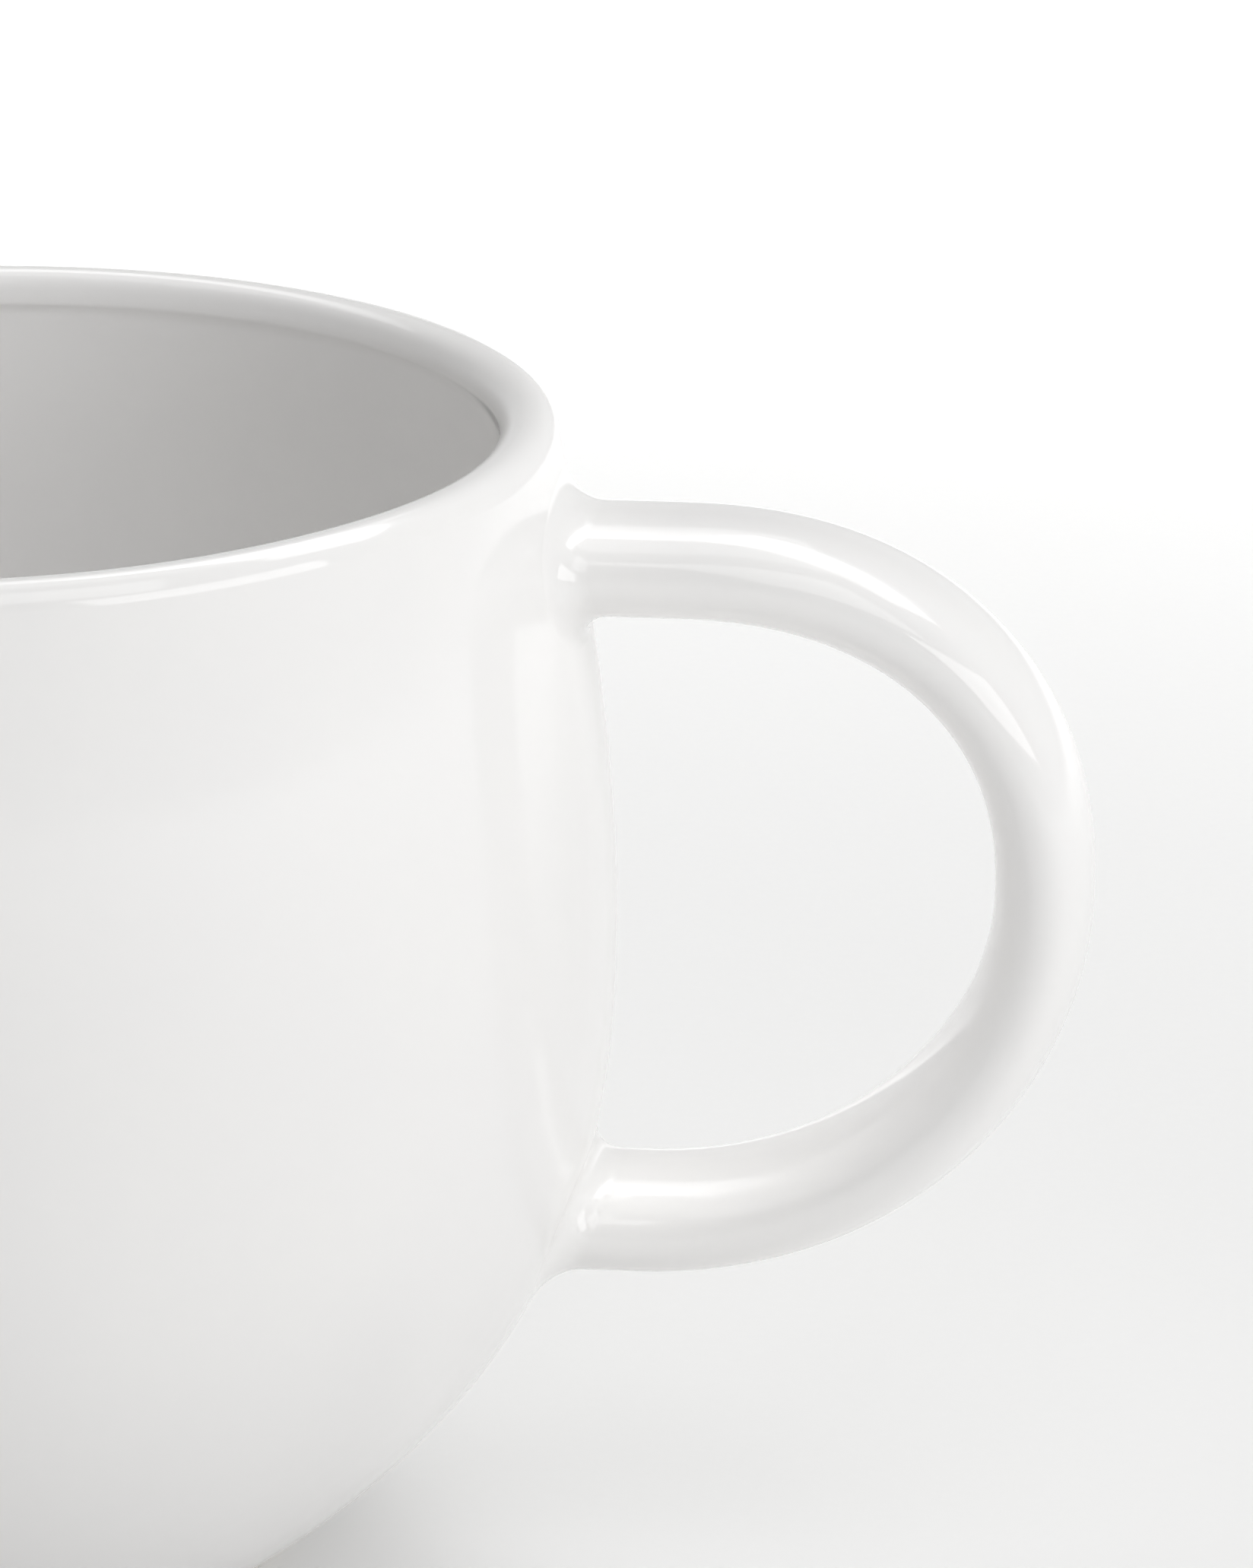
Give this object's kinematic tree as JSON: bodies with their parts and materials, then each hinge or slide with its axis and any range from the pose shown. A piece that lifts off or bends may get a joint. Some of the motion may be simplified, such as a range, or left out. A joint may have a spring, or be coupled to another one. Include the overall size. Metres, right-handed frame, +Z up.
{
  "type": "mug",
  "caption": "Round-bottomed glazed ceramic mug on a low foot ring, with a rounded lip and a D-shaped strap handle.",
  "frame": {"origin": "on the cup's axis, in the plane of the foot ring's standing face", "axes": "+Z up along the cup's axis, +X from the axis through the middle of the handle, +Y completes a right-handed set"},
  "size_m": [0.1223, 0.09, 0.082],
  "materials": {
    "fired_ware": "matte",
    "joining_slip": "matte",
    "gloss_glaze": "gloss"
  },
  "bodies": {
    "root": {"cup_body": "fired_ware", "handle": "fired_ware", "upper_slip_joint": "joining_slip", "lower_slip_joint": "joining_slip", "liner_glaze": "gloss_glaze", "outer_glaze": "gloss_glaze", "handle_glaze": "gloss_glaze", "foot_recess_glaze": "gloss_glaze"}
  },
  "joints": []
}
